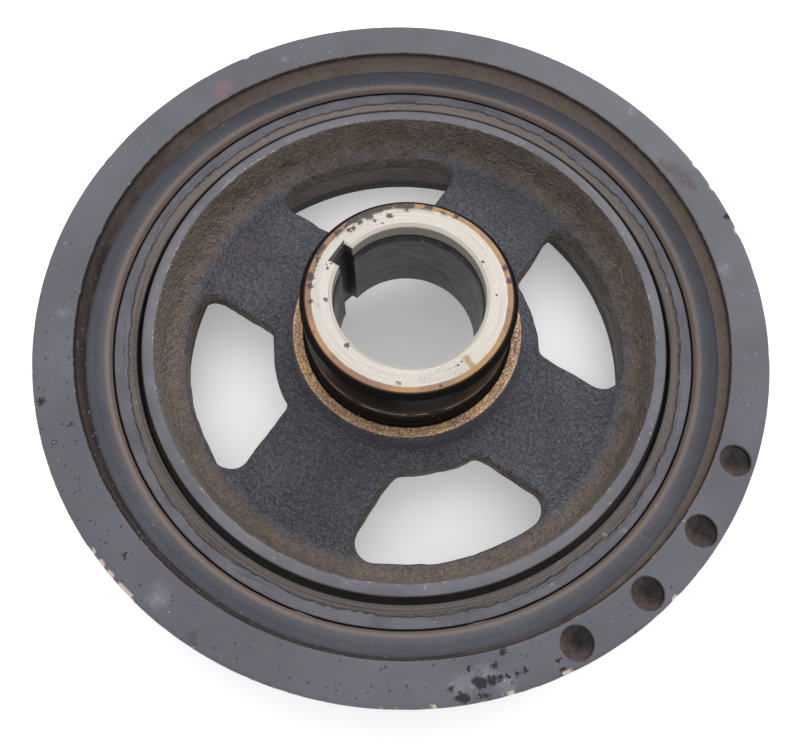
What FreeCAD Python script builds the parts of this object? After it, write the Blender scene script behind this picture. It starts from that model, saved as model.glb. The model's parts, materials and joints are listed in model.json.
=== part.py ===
"""Crankshaft damper pulley: hub casting, bonded elastomer ring and grooved inertia ring.

Millimetres. +Z is the crank axis and points to the engine side. The origin is on the axis,
in the plane of the front edge, which is the lowest face when the pulley lies front down.
"""
import FreeCAD, Part

import os

import Sketcher

doc = FreeCAD.newDocument("damper_pulley")

# Driving dimensions: heights are measured up from the front edge, radii from the crank axis.
dimensions = {
    # inertia ring
    "flangeRadius": 80.0,
    "ringRearHeight": 36.0,
    "ringFrontHeight": 5.0,
    "rearFaceWidth": 8.5,
    "rearStepDepth": 7.0,
    "stepWallSlope": 0.5,
    "ringBoreRadius": 66.2,
    "ringLipWidth": 0.8,
    "ringEdgeBreak": 0.6,
    "flangeThickness": 3.0,
    "flangeBevel": 1.0,
    "trackRadius": 77.0,
    "trackLowHeight": 8.0,
    "trackHighHeight": 32.0,
    "frontLipRadius": 77.8,
    "ribPitch": 3.56,
    "ribCount": 6,
    "grooveHalfMouth": 1.53,
    "grooveHalfRoot": 0.3,
    "grooveDepth": 3.38,
    # drilled balance holes in the inertia ring's rear face
    "balanceCircleRadius": 75.75,
    "balanceHoleDiameter": 6.5,
    "balanceHoleDepth": 1.2,
    "balanceFirstAngle": -77.6,
    "balanceSpan": 39.1,
    "balanceCount": 4,
    # elastomer ring
    "elastomerRadius": 66.1,
    "elastomerTopHeight": 27.5,
    "elastomerFrontHeight": 6.4,
    "elastomerGrooveWidth": 1.4,
    "elastomerGrooveDepth": 3.2,
    "elastomerShoulder": 0.4,
    # hub rim and web
    "rimRadius": 59.7,
    "rimTopHeight": 28.6,
    "rimTopWidth": 2.6,
    "rimRearFootRadius": 55.9,
    "rimFrontFootRadius": 53.6,
    "rimFrontInnerRadius": 55.9,
    "webRearHeight": 18.8,
    "webFrontHeight": 14.0,
    "webFillet": 4.0,
    "edgeBreak": 0.4,
    # windows
    "windowInnerRadius": 32.0,
    "windowOuterRadius": 52.3,
    "spokeWidth": 29.6,
    "windowInnerCorner": 2.6,
    "windowOuterCorner": 4.6,
    "windowCount": 4,
    # boss, seal journal and bore
    "bossFootRadius": 27.6,
    "shoulderRadius": 26.4,
    "shoulderHeight": 27.9,
    "shoulderDish": 1.0,
    "journalRadius": 23.0,
    "hubTopHeight": 45.1,
    "journalChamfer": 1.3,
    "boreRadius": 16.0,
    "counterboreRadius": 16.2,
    "counterboreHeight": 41.4,
    "mouthChamfer": 0.3,
    "boltSeatHeight": 20.3,
    "boltRecessRadius": 21.0,
    "boltBossRadius": 26.6,
    "boltBossHeight": 10.6,
    # keyway, on the middle of one spoke
    "keyWidth": 5.0,
    "keyFloorRadius": 18.1,
    "keyAngle": 135.0,
}

sheet = doc.addObject("Spreadsheet::Sheet", "Dims")
for row, (alias, value) in enumerate(dimensions.items(), start=1):
    sheet.set(f"A{row}", alias)
    sheet.set(f"B{row}", str(value))
    sheet.setAlias(f"B{row}", alias)
doc.recompute()

TOLERANCE = 1e-3


def dim(words):
    """Return an expression with each dimension's name sent to the sheet."""
    return " ".join(f"Dims.{word}" if word in dimensions else word for word in words.split())


def value_of(words):
    return float(sheet.evalExpression(dim(words)))


def new_body(label):
    body = doc.addObject("PartDesign::Body", label)
    body.Label = label
    return body


def origin_feature(body, role):
    return next(item for item in body.Origin.OriginFeatures if item.Role == role)


def new_sketch(body, name, plane_role):
    sketch = body.newObject("Sketcher::SketchObject", name)
    sketch.AttachmentSupport = (origin_feature(body, plane_role), [""])
    sketch.MapMode = "FlatFace"
    return sketch


def pin_point(sketch, line, end, x_words, y_words, name):
    """Hold a point of a sketch at two named distances from the sketch's origin."""
    for letter, kind, words in (("x", "DistanceX", x_words), ("y", "DistanceY", y_words)):
        size = value_of(words)
        index = sketch.addConstraint(Sketcher.Constraint(kind, -1, 1, line, end, size))
        sketch.renameConstraint(index, f"{name}_{letter}")
        sketch.setExpression(f"Constraints.{name}_{letter}", dim(words))


def closed_outline(sketch, points):
    """Draw straight lines through points given as (across, up) dimension words."""
    places = [FreeCAD.Vector(value_of(x), value_of(y), 0) for x, y in points]
    count = len(places)
    for index, place in enumerate(places):
        sketch.addGeometry(Part.LineSegment(place, places[(index + 1) % count]))
    for index in range(count):
        sketch.addConstraint(Sketcher.Constraint("Coincident", index, 2, (index + 1) % count, 1))
    for index, (x_words, y_words) in enumerate(points):
        pin_point(sketch, index, 1, x_words, y_words, f"p{index}")


def turned_body(label, points):
    """Make a body by turning an outline of (radius, height) pairs about the crank axis."""
    body = new_body(label)
    sketch = new_sketch(body, f"{label}_profile", "XZ_Plane")
    closed_outline(sketch, points)
    turn = body.newObject("PartDesign::Revolution", f"{label}_turned")
    turn.Profile = sketch
    turn.ReferenceAxis = (sketch, ["V_Axis"])
    turn.Angle = 360.0
    doc.recompute()
    return body


def ring_edges(shape, radius, height):
    """Name the circular edges about the crank axis with this radius and height."""
    names = []
    for number, edge in enumerate(shape.Edges, start=1):
        curve = edge.Curve
        if not isinstance(curve, Part.Circle):
            continue
        on_axis = abs(curve.Center.x) < TOLERANCE and abs(curve.Center.y) < TOLERANCE
        same_radius = abs(curve.Radius - radius) < TOLERANCE
        if on_axis and same_radius and abs(curve.Center.z - height) < TOLERANCE:
            names.append(f"Edge{number}")
    return names


def dress_edges(body, kind, name, edge_names, size_words):
    """Add a fillet or a chamfer to named edges of the body's latest feature."""
    base = body.Tip
    dress = body.newObject(f"PartDesign::{kind}", name)
    dress.Base = (base, edge_names)
    dress.setExpression("Radius" if kind == "Fillet" else "Size", dim(size_words))
    doc.recompute()
    return dress


def polar_pattern(body, name, original, count_words, angle_words):
    pattern = body.newObject("PartDesign::PolarPattern", name)
    pattern.Originals = [original]
    pattern.Axis = (origin_feature(body, "Z_Axis"), [""])
    pattern.setExpression("Occurrences", dim(count_words))
    pattern.setExpression("Angle", dim(angle_words))
    body.Tip = pattern
    doc.recompute()
    return pattern


def through_pocket(body, name, sketch):
    pocket = body.newObject("PartDesign::Pocket", name)
    pocket.Profile = sketch
    pocket.Type = "ThroughAll"
    pocket.Midplane = True
    doc.recompute()
    return pocket


def build_inertia_ring():
    """Cast ring with a stepped rear face, a poly-V belt track and four drilled holes."""
    body = turned_body("inertia_ring", [
        ("ringBoreRadius", "ringFrontHeight + ringEdgeBreak"),
        ("ringBoreRadius + ringEdgeBreak", "ringFrontHeight"),
        ("frontLipRadius - ringEdgeBreak", "ringFrontHeight"),
        ("frontLipRadius", "ringFrontHeight + ringEdgeBreak"),
        ("frontLipRadius", "trackLowHeight - ringEdgeBreak"),
        ("trackRadius", "trackLowHeight"),
        ("trackRadius", "trackHighHeight"),
        ("flangeRadius - ringEdgeBreak", "trackHighHeight + flangeBevel"),
        ("flangeRadius", "ringRearHeight - flangeThickness + ringEdgeBreak"),
        ("flangeRadius", "ringRearHeight"),
        ("flangeRadius - rearFaceWidth", "ringRearHeight"),
        ("flangeRadius - rearFaceWidth - stepWallSlope", "ringRearHeight - rearStepDepth"),
        ("ringBoreRadius + ringLipWidth", "ringRearHeight - rearStepDepth"),
        ("ringBoreRadius", "ringRearHeight - rearStepDepth - ringEdgeBreak"),
    ])
    cut_belt_grooves(body)
    drill_balance_holes(body)
    return body


def cut_belt_grooves(body):
    """Turn one V groove and repeat it along the crank axis."""
    sketch = new_sketch(body, "belt_groove_profile", "XZ_Plane")
    middle = "( trackLowHeight + trackHighHeight - ribCount * ribPitch + ribPitch ) / 2"
    closed_outline(sketch, [
        ("trackRadius + ringEdgeBreak", f"{middle} - grooveHalfMouth"),
        ("trackRadius", f"{middle} - grooveHalfMouth"),
        ("trackRadius - grooveDepth", f"{middle} - grooveHalfRoot"),
        ("trackRadius - grooveDepth", f"{middle} + grooveHalfRoot"),
        ("trackRadius", f"{middle} + grooveHalfMouth"),
        ("trackRadius + ringEdgeBreak", f"{middle} + grooveHalfMouth"),
    ])
    groove = body.newObject("PartDesign::Groove", "belt_groove")
    groove.Profile = sketch
    groove.ReferenceAxis = (sketch, ["V_Axis"])
    groove.Angle = 360.0
    doc.recompute()
    row = body.newObject("PartDesign::LinearPattern", "belt_grooves")
    row.Originals = [groove]
    row.Direction = (origin_feature(body, "Z_Axis"), [""])
    row.setExpression("Occurrences", dim("ribCount"))
    row.setExpression("Length", dim("( ribCount - 1 ) * ribPitch"))
    body.Tip = row
    doc.recompute()


def drill_balance_holes(body):
    """Drill one blind hole with a cone end into the rear face, then repeat it along an arc."""
    sketch = new_sketch(body, "balance_hole_centre", "XY_Plane")
    sketch.setExpression("AttachmentOffset.Base.z", dim("ringRearHeight"))
    across = "balanceCircleRadius * cos( balanceFirstAngle * 1deg )"
    up = "balanceCircleRadius * sin( balanceFirstAngle * 1deg )"
    centre = FreeCAD.Vector(value_of(across), value_of(up), 0)
    sketch.addGeometry(Part.Circle(centre, FreeCAD.Vector(0, 0, 1), value_of("balanceHoleDiameter / 2")))
    pin_point(sketch, 0, 3, across, up, "centre")
    index = sketch.addConstraint(Sketcher.Constraint("Diameter", 0, value_of("balanceHoleDiameter")))
    sketch.renameConstraint(index, "drill")
    sketch.setExpression("Constraints.drill", dim("balanceHoleDiameter"))
    doc.recompute()
    hole = body.newObject("PartDesign::Hole", "balance_hole")
    hole.Profile = sketch
    doc.recompute()
    hole.ThreadType = "None"
    hole.DepthType = "Dimension"
    hole.DrillPoint = "Angled"
    hole.DrillPointAngle = 118.0
    hole.setExpression("Diameter", dim("balanceHoleDiameter"))
    hole.setExpression("Depth", dim("balanceHoleDepth"))
    doc.recompute()
    polar_pattern(body, "balance_holes", hole, "balanceCount", "balanceSpan")


def build_elastomer_ring():
    """Rubber ring bonded round the hub's rim, with a moulded groove beside the rim."""
    groove_floor = "elastomerTopHeight - elastomerGrooveDepth"
    return turned_body("elastomer_ring", [
        ("rimRadius", "elastomerFrontHeight"),
        ("elastomerRadius - elastomerShoulder", "elastomerFrontHeight"),
        ("elastomerRadius", "elastomerFrontHeight + elastomerShoulder"),
        ("elastomerRadius", "elastomerTopHeight - elastomerShoulder"),
        ("elastomerRadius - elastomerShoulder", "elastomerTopHeight"),
        ("rimRadius + elastomerGrooveWidth", "elastomerTopHeight"),
        ("rimRadius + elastomerGrooveWidth", groove_floor),
        ("rimRadius", groove_floor),
    ])


def build_hub():
    """Cast hub: rim, web with windows, boss, ground seal journal and keyed bore."""
    body = turned_body("hub", [
        ("rimFrontInnerRadius", "0"),
        ("rimRadius - edgeBreak", "0"),
        ("rimRadius", "edgeBreak"),
        ("rimRadius", "rimTopHeight - edgeBreak"),
        ("rimRadius - edgeBreak", "rimTopHeight"),
        ("rimRadius - rimTopWidth", "rimTopHeight"),
        ("rimRearFootRadius", "webRearHeight"),
        ("bossFootRadius", "webRearHeight"),
        ("shoulderRadius", "shoulderHeight"),
        ("journalRadius", "shoulderHeight - shoulderDish"),
        ("journalRadius", "hubTopHeight - journalChamfer"),
        ("journalRadius - journalChamfer", "hubTopHeight"),
        ("counterboreRadius", "hubTopHeight"),
        ("counterboreRadius", "counterboreHeight"),
        ("boreRadius", "counterboreHeight"),
        ("boreRadius", "boltSeatHeight + edgeBreak"),
        ("boreRadius + edgeBreak", "boltSeatHeight"),
        ("boltRecessRadius", "boltSeatHeight"),
        ("boltRecessRadius", "boltBossHeight"),
        ("boltBossRadius", "boltBossHeight"),
        ("boltBossRadius", "webFrontHeight"),
        ("rimFrontFootRadius", "webFrontHeight"),
    ])
    blend_web(body)
    cut_windows(body)
    cut_keyway(body)
    return body


def blend_web(body):
    """Round the inside corners where the web meets the rim and the boss."""
    rear_corners = [("rimRearFootRadius", "webRearHeight"), ("bossFootRadius", "webRearHeight")]
    shape = body.Tip.Shape
    names = []
    for radius_words, height_words in rear_corners:
        names += ring_edges(shape, value_of(radius_words), value_of(height_words))
    dress_edges(body, "Fillet", "web_rear_fillet", names, "webFillet")
    shape = body.Tip.Shape
    names = ring_edges(shape, value_of("rimFrontFootRadius"), value_of("webFrontHeight"))
    names += ring_edges(shape, value_of("boltBossRadius"), value_of("webFrontHeight"))
    dress_edges(body, "Fillet", "web_front_fillet", names, "edgeBreak * 3")


def window_corners():
    """Return the window's four corners, (across, up), for the window on the +X side."""
    half = value_of("spokeWidth") / 2
    inner = value_of("windowInnerRadius")
    outer = value_of("windowOuterRadius")
    corners = []
    for radius in (inner, outer):
        # The window's side runs beside the spoke at 45 degrees, half a spoke from its middle.
        along = (radius ** 2 - half ** 2) ** 0.5
        corners.append(((along + half) / 2 ** 0.5, (along - half) / 2 ** 0.5))
    return corners


def cut_windows(body):
    """Cut one window between two spokes, round its corners, and repeat it."""
    (inner_x, inner_y), (outer_x, outer_y) = window_corners()
    inner_angle = "asin( spokeWidth / 2 / windowInnerRadius )"
    outer_angle = "asin( spokeWidth / 2 / windowOuterRadius )"
    sketch = new_sketch(body, "window_outline", "XY_Plane")
    low_inner = FreeCAD.Vector(inner_x, -inner_y, 0)
    high_inner = FreeCAD.Vector(inner_x, inner_y, 0)
    low_outer = FreeCAD.Vector(outer_x, -outer_y, 0)
    high_outer = FreeCAD.Vector(outer_x, outer_y, 0)
    inner_middle = FreeCAD.Vector(value_of("windowInnerRadius"), 0, 0)
    outer_middle = FreeCAD.Vector(value_of("windowOuterRadius"), 0, 0)
    sketch.addGeometry(Part.LineSegment(low_inner, low_outer))
    sketch.addGeometry(Part.Arc(low_outer, outer_middle, high_outer))
    sketch.addGeometry(Part.LineSegment(high_outer, high_inner))
    sketch.addGeometry(Part.Arc(low_inner, inner_middle, high_inner))
    for first, first_end, second, second_end in ((0, 2, 1, 1), (1, 2, 2, 1), (2, 2, 3, 2), (3, 1, 0, 1)):
        sketch.addConstraint(Sketcher.Constraint("Coincident", first, first_end, second, second_end))
    for arc, radius_words in ((1, "windowOuterRadius"), (3, "windowInnerRadius")):
        index = sketch.addConstraint(Sketcher.Constraint("Radius", arc, value_of(radius_words)))
        sketch.renameConstraint(index, radius_words)
        sketch.setExpression(f"Constraints.{radius_words}", dim(radius_words))
    radius_x = "{0} * cos( 45deg - {1} )"
    radius_y = "{0} * sin( 45deg - {1} )"
    pin_point(sketch, 2, 2, radius_x.format("windowInnerRadius", inner_angle),
              radius_y.format("windowInnerRadius", inner_angle), "inner_corner")
    pin_point(sketch, 2, 1, radius_x.format("windowOuterRadius", outer_angle),
              radius_y.format("windowOuterRadius", outer_angle), "outer_corner")
    for line_end, far_end in ((1, 2), (2, 1)):
        sketch.addConstraint(Sketcher.Constraint("Symmetric", 0, line_end, 2, far_end, -1))
    pocket = through_pocket(body, "window", sketch)
    inner_round = round_window_corners(body, "windowInnerRadius", "windowInnerCorner", "inner")
    outer_round = round_window_corners(body, "windowOuterRadius", "windowOuterCorner", "outer")
    pattern = polar_pattern(body, "windows", pocket, "windowCount", "360")
    pattern.Originals = [pocket, inner_round, outer_round]
    doc.recompute()


def round_window_corners(body, radius_words, size_words, name):
    """Round the window's upright corner edges that stand at this radius."""
    radius = value_of(radius_words)
    names = []
    for number, edge in enumerate(body.Tip.Shape.Edges, start=1):
        if not isinstance(edge.Curve, Part.Line) or abs(edge.tangentAt(edge.FirstParameter).z) < 0.99:
            continue
        foot = edge.Vertexes[0].Point
        if abs(FreeCAD.Vector(foot.x, foot.y, 0).Length - radius) < TOLERANCE:
            names.append(f"Edge{number}")
    return dress_edges(body, "Fillet", f"window_{name}_corners", names, size_words)


def cut_keyway(body):
    """Broach the keyway along the bore, then chamfer the whole rear mouth."""
    sketch = new_sketch(body, "keyway_outline", "XY_Plane")
    sketch.setExpression("AttachmentOffset.Rotation.Angle", dim("keyAngle * 1deg"))
    half = "keyWidth / 2"
    closed_outline(sketch, [
        ("boreRadius / 2", f"- {half}"),
        ("keyFloorRadius", f"- {half}"),
        ("keyFloorRadius", half),
        ("boreRadius / 2", half),
    ])
    through_pocket(body, "keyway", sketch)
    top = value_of("hubTopHeight")
    reach = value_of("keyFloorRadius") + 1
    names = []
    for number, edge in enumerate(body.Tip.Shape.Edges, start=1):
        ends = [vertex.Point for vertex in edge.Vertexes]
        flat = all(abs(point.z - top) < TOLERANCE for point in ends)
        near = all(FreeCAD.Vector(point.x, point.y, 0).Length < reach for point in ends)
        if flat and near:
            names.append(f"Edge{number}")
    dress_edges(body, "Chamfer", "mouth_chamfer", names, "mouthChamfer")


def main():
    bodies = [build_hub(), build_elastomer_ring(), build_inertia_ring()]
    doc.recompute()
    for item in doc.Objects:
        if "Invalid" in item.State or "Error" in item.State:
            raise RuntimeError(f"{item.Name} failed: {item.State}")
    os.makedirs("parts", exist_ok=True)
    for body in bodies:
        if body.Shape.isNull() or not body.Shape.isValid():
            raise RuntimeError(f"{body.Label} has no valid shape")
        body.Shape.exportStep(os.path.join("parts", f"{body.Label}.step"))
        print(f"{body.Label}: {body.Shape.Volume / 1000:.2f} cm3, {len(body.Shape.Solids)} solid")


main()
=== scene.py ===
import json
import math

import bpy
import numpy as np
from mathutils import Matrix, Vector


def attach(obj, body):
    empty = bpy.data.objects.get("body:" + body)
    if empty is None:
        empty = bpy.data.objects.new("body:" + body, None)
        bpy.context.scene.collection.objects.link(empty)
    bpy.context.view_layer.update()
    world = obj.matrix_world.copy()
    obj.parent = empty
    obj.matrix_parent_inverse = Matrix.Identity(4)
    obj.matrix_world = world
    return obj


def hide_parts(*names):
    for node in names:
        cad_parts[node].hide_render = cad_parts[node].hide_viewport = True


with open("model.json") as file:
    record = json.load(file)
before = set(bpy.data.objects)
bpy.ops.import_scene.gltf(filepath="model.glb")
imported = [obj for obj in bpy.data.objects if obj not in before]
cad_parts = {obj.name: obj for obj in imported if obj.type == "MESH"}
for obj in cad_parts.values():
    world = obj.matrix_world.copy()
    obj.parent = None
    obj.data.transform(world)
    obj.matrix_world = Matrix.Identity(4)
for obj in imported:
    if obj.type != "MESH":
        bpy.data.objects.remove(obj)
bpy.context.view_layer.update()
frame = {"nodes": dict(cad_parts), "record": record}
mm = 0.001
fullTurn = 2 * math.pi
arcStep = math.radians(28)   # roundings are drawn with steps of about this much
tableSize = 48               # side of the random tables behind roughField
print("frame loaded")


def nodeReach(node):  # largest radius, lowest and highest height of a CAD node, in mm
    spots = np.array([vertex.co for vertex in frame["nodes"][node].data.vertices]) / mm
    return round(np.hypot(spots[:, 0], spots[:, 1]).max(), 2), spots[:, 2].min(), spots[:, 2].max()


def mountOf(name):
    return next(mount for mount in frame["record"]["mounts"] if mount["name"] == name)


ringReach, ringLow, ringTop = nodeReach("inertia_ring")
rubberReach, rubberLow, rubberTop = nodeReach("elastomer_ring")
hubReach, _, hubTop = nodeReach("hub")
boreRadius = mountOf("bore")["dims"]["r_mm"]
journalRadius = mountOf("seal_journal")["dims"]["r_mm"]
boltSeat = mountOf("bolt_seat")["pos_m"][2] / mm


# node helpers

def tint(red, green, blue):  # a colour as seen on screen, 0 to 255, turned into linear light
    parts = [(channel / 255) for channel in (red, green, blue)]
    return tuple(p / 12.92 if p < 0.04045 else ((p + 0.055) / 1.055) ** 2.4 for p in parts) + (1.0,)


class Wire:  # an output of a node: reckoning with it places more nodes in the same tree
    def __init__(self, socket):
        self.socket = socket
        self.tree = socket.id_data

    def calc(self, operation, second=0.0):
        return wire(self.tree, "ShaderNodeMath", {0: self, 1: second}, operation=operation)

    def calcFrom(self, operation, first):
        return wire(self.tree, "ShaderNodeMath", {0: first, 1: self}, operation=operation)

    def __add__(self, other):
        return self.calc("ADD", other)

    def __sub__(self, other):
        return self.calc("SUBTRACT", other)

    def __mul__(self, other):
        return self.calc("MULTIPLY", other)

    def __truediv__(self, other):
        return self.calc("DIVIDE", other)

    def __radd__(self, other):
        return self.calcFrom("ADD", other)

    def __rsub__(self, other):
        return self.calcFrom("SUBTRACT", other)

    def __rtruediv__(self, other):
        return self.calcFrom("DIVIDE", other)

    def most(self, other):
        return self.calc("MAXIMUM", other)

    def spread(self, start, end, low, high):  # from low to high in a straight line
        return wire(self.tree, "ShaderNodeMapRange", {0: self, 1: start, 2: end, 3: low, 4: high})

    def fade(self, start, end, low=0.0, high=1.0):  # from low to high in a smooth step
        return wire(self.tree, "ShaderNodeMapRange", {0: self, 1: start, 2: end, 3: low, 4: high},
                    interpolation_type="SMOOTHSTEP")

    def band(self, low, high, soft):  # 1 between low and high, soft at both ends
        return self.fade(low - soft, low + soft) * self.fade(high - soft, high + soft, 1.0, 0.0)

    def vector(self, operation, second=(0, 0, 0), out="Vector"):
        return wire(self.tree, "ShaderNodeVectorMath", {0: self, 1: second}, out, operation=operation)

    def scaled(self, factor):
        return wire(self.tree, "ShaderNodeVectorMath", {0: self, "Scale": factor}, operation="SCALE")

    def split(self, kind="ShaderNodeSeparateXYZ"):
        return outs(place(self.tree, kind, {0: self}))


def feed(socket, value):
    if isinstance(value, Wire):
        socket.id_data.links.new(value.socket, socket)
    else:
        socket.default_value = value


def place(tree, kind, inputs=None, **settings):
    node = tree.nodes.new(kind)
    for key, value in settings.items():
        setattr(node, key, value)
    for key, value in (inputs or {}).items():
        feed(node.inputs[key], value)
    return node


def wire(tree, kind, inputs, out=0, **settings):
    return Wire(place(tree, kind, inputs, **settings).outputs[out])


def outs(node):
    return [Wire(socket) for socket in node.outputs]


def blend(amount, first, second):
    return wire(amount.tree, "ShaderNodeMix", {0: amount, 6: first, 7: second}, 2, data_type="RGBA")


def noise(spot, scale, detail=2.0, rough=0.5, twist=0.0, out=0):
    inputs = {"Vector": spot, "Scale": scale, "Detail": detail, "Roughness": rough, "Distortion": twist}
    return wire(spot.tree, "ShaderNodeTexNoise", inputs, out)


def newMaterial(name):
    material = bpy.data.materials.new(name)
    material.use_nodes = True
    tree = material.node_tree
    tree.nodes.clear()
    shader = place(tree, "ShaderNodeBsdfPrincipled")
    place(tree, "ShaderNodeOutputMaterial", {0: Wire(shader.outputs[0])})
    return material, shader


def newGroup(name, inputs, outputs):  # both are titles with start values, which also tell the kind
    group = bpy.data.node_groups.new(name, "ShaderNodeTree")
    for way, titles in (("INPUT", inputs), ("OUTPUT", outputs)):
        for title, start in titles.items():
            kind = "NodeSocketVector" if isinstance(start, tuple) else "NodeSocketFloat"
            group.interface.new_socket(name=title, in_out=way, socket_type=kind).default_value = start
    given = place(group, "NodeGroupInput").outputs
    return group, {title: Wire(given[title]) for title in inputs}, place(group, "NodeGroupOutput").inputs


def useGroup(tree, group, inputs=None):
    node = place(tree, "ShaderNodeGroup", node_tree=group)
    for key, value in (inputs or {}).items():
        feed(node.inputs[key], value)
    return {socket.name: Wire(socket) for socket in node.outputs}


def finish(shader, colour, roughness, relief, depth, metallic=0.0):  # depth of the relief in mm
    bump = wire(relief.tree, "ShaderNodeBump", {"Height": relief, "Distance": depth * mm, "Strength": 1.0})
    feed(shader.inputs["Base Color"], colour)
    feed(shader.inputs["Metallic"], metallic)
    feed(shader.inputs["Roughness"], roughness)
    feed(shader.inputs["Normal"], bump)


# effects that several finishes use

def makePolarPlace():  # where a point lies, in mm and degrees round the axis
    group, _, out = newGroup("polarPlace", {}, {
        "Spot": (0, 0, 0), "Radius": 0.0, "Height": 0.0, "Around": (0, 0, 0), "Angle": 0.0})
    spot = wire(group, "ShaderNodeTexCoord", {}, "Object").vector("MULTIPLY", (1000, 1000, 1000))
    x, y, z = spot.split()
    flat = wire(group, "ShaderNodeCombineXYZ", {0: x, 1: y})
    feed(out["Spot"], spot)
    feed(out["Radius"], flat.vector("LENGTH", out="Value"))
    feed(out["Height"], z)
    feed(out["Around"], flat.vector("NORMALIZE"))
    feed(out["Angle"], y.calc("ARCTAN2", x).calc("DEGREES"))
    return group


def makeTurningMarks():  # rings left by a cutting tool: Pitch in mm, Wander lets them drift round the circle
    group, given, out = newGroup("turningMarks", {
        "Radius": 0.0, "Height": 0.0, "Around": (0, 0, 0), "Pitch": 0.3, "Wander": 0.5}, {"Marks": 0.0})
    drift = given["Around"].scaled(given["Wander"]).split()
    spot = wire(group, "ShaderNodeCombineXYZ", {0: given["Radius"] / given["Pitch"], 1: drift[0], 2: drift[1]})
    inputs = {"Vector": spot, "W": given["Height"] / given["Pitch"], "Scale": 1.0, "Detail": 3.0}
    feed(out["Marks"], wire(group, "ShaderNodeTexNoise", inputs, noise_dimensions="4D"))
    return group


def makeCastGrain():  # sand-cast skin: Grain is its height, Hollows marks the low places
    group, given, out = newGroup("castGrain", {"Spot": (0, 0, 0), "Size": 0.8}, {"Grain": 0.0, "Hollows": 0.0})
    scale = 1 / given["Size"]
    lumps = noise(given["Spot"], scale, 3.0, 0.5, 0.3)
    cells = wire(group, "ShaderNodeTexVoronoi", {"Vector": given["Spot"], "Scale": scale, "Smoothness": 0.8},
                 "Distance", feature="SMOOTH_F1")
    grain = lumps - cells * 0.35
    feed(out["Grain"], grain)
    feed(out["Hollows"], grain.fade(0.42, 0.24))
    return group


def makeBloom():  # patches of rust, dust or stain: Amount from 0, none, to 1, all over
    group, given, out = newGroup("bloom", {"Spot": (0, 0, 0), "Size": 5.0, "Amount": 0.5, "Soft": 0.15},
                                 {"Mask": 0.0, "Mottle": 0.0})
    scale = 1 / given["Size"]
    level = 0.82 - given["Amount"] * 0.64
    large = noise(given["Spot"], scale, 6.0, 0.62, 0.4)
    feed(out["Mask"], large.fade(level - given["Soft"], level + given["Soft"]))
    feed(out["Mottle"], noise(given["Spot"], scale * 7.0, 3.0))
    return group


def makeSpecks():  # small scattered grains or pits: Density from 0 to 1, Size in mm
    group, given, out = newGroup("specks", {"Spot": (0, 0, 0), "Size": 1.0, "Density": 0.2}, {"Mask": 0.0})
    push = noise(given["Spot"], 2.5 / given["Size"], out="Color").scaled(given["Size"] * 0.6)
    spot = given["Spot"].vector("ADD", push)
    away, pick = outs(place(group, "ShaderNodeTexVoronoi", {"Vector": spot, "Scale": 1 / given["Size"]}))[:2]
    chance, reach = pick.split("ShaderNodeSeparateColor")[:2]
    near = reach.spread(0.0, 1.0, 0.1, 0.42) - away
    feed(out["Mask"], chance.calc("LESS_THAN", given["Density"]) * near.fade(0.0, 0.08))
    return group


def makeEdgeWear():  # bare places along an edge: Distance from the edge and Width in mm
    group, given, out = newGroup("edgeWear", {
        "Spot": (0, 0, 0), "Distance": 0.0, "Width": 0.5, "Amount": 0.5}, {"Mask": 0.0})
    level = noise(given["Spot"], 0.16, 4.0, 0.7) * noise(given["Spot"], 1.1, 4.0, 0.7)
    reach = (level.spread(0.22, 0.42, -0.6, 1.6) + given["Amount"]) * given["Width"]
    feed(out["Mask"], (reach - given["Distance"]).fade(-0.02, 0.06))
    return group


def makeShiver():  # shifts each place a little at random, so that round marks come out ragged
    group, given, out = newGroup("shiver", {"Spot": (0, 0, 0), "Size": 1.0, "Push": 1.0}, {"Spot": (0, 0, 0)})
    way = noise(given["Spot"], 1 / given["Size"], 4.0, 0.7, out="Color").vector("SUBTRACT", (0.5, 0.5, 0.5))
    feed(out["Spot"], given["Spot"].vector("ADD", way.scaled(given["Push"] * 4.0)))
    return group


def makeSplotch():  # one round stain or dent at a Centre given in mm
    group, given, out = newGroup("splotch", {
        "Spot": (0, 0, 0), "Centre": (0, 0, 0), "Width": 1.0, "Soft": 0.1}, {"Mask": 0.0})
    reach = given["Spot"].vector("DISTANCE", given["Centre"], "Value") / given["Width"]
    feed(out["Mask"], reach.fade(0.5 + given["Soft"], 0.5 - given["Soft"]))
    return group


polarPlace = makePolarPlace()
turningMarks = makeTurningMarks()
castGrain = makeCastGrain()
bloom = makeBloom()
specks = makeSpecks()
edgeWear = makeEdgeWear()
shiver = makeShiver()
splotch = makeSplotch()


def cloud(at, size, detail=2.0, rough=0.55):  # noise with blobs of that size, in mm
    return noise(at["Spot"], 1 / size, detail, rough)


def toolMarks(at, pitch, wander):
    inputs = {title: at[title] for title in ("Radius", "Height", "Around")}
    return useGroup(at["Spot"].tree, turningMarks, {**inputs, "Pitch": pitch, "Wander": wander})["Marks"]


def bloomOn(at, size, amount, soft):
    return useGroup(at["Spot"].tree, bloom, {"Spot": at["Spot"], "Size": size, "Amount": amount, "Soft": soft})


def specksOn(at, size, density):
    return useGroup(at["Spot"].tree, specks, {"Spot": at["Spot"], "Size": size, "Density": density})["Mask"]


def wearOn(at, distance, width, amount):
    inputs = {"Spot": at["Spot"], "Distance": distance, "Width": width, "Amount": amount}
    return useGroup(at["Spot"].tree, edgeWear, inputs)["Mask"]


def towards(at, angle):  # 1 on the side at that angle round the axis, -1 on the far side
    return (at["Angle"] - angle).calc("RADIANS").calc("COSINE")


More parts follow.
